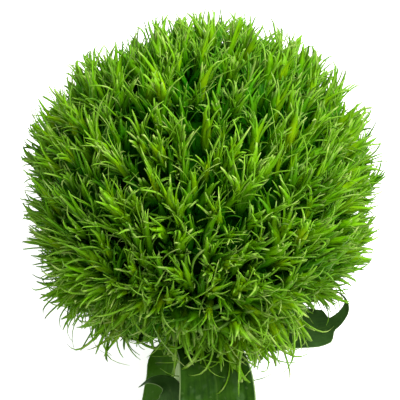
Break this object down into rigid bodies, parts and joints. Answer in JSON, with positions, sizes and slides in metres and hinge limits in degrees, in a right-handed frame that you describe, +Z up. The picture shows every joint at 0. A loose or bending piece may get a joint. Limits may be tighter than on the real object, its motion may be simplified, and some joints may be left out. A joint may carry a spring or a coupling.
{
  "type": "cut flower, petal-less green sweet william",
  "caption": "Cut sweet william lying on its side: a ball of green bract tufts ending in bristles, on a jointed stem with lance-shaped leaves.",
  "frame": {"origin": "centre of the bounding box, on the surface that the flower lies on", "axes": "+Z up from the surface, +Y along the stem towards the flower head, +X to the right as seen from above with the head away from the viewer"},
  "size_m": [0.0811, 0.2297, 0.0751],
  "materials": {
    "bracts": "satin",
    "leaf_blade": "satin",
    "stem_skin": "matte"
  },
  "bodies": {
    "root": {"head": "bracts", "stem": "stem_skin", "leaf_front": "leaf_blade", "leaf_back": "leaf_blade", "leaf_right_curl": "leaf_blade", "leaf_left_low": "leaf_blade", "leaf_left_hook": "leaf_blade", "leaf_right_arch": "leaf_blade", "leaf_right_lower": "leaf_blade", "leaf_left_lower": "leaf_blade"}
  },
  "joints": []
}
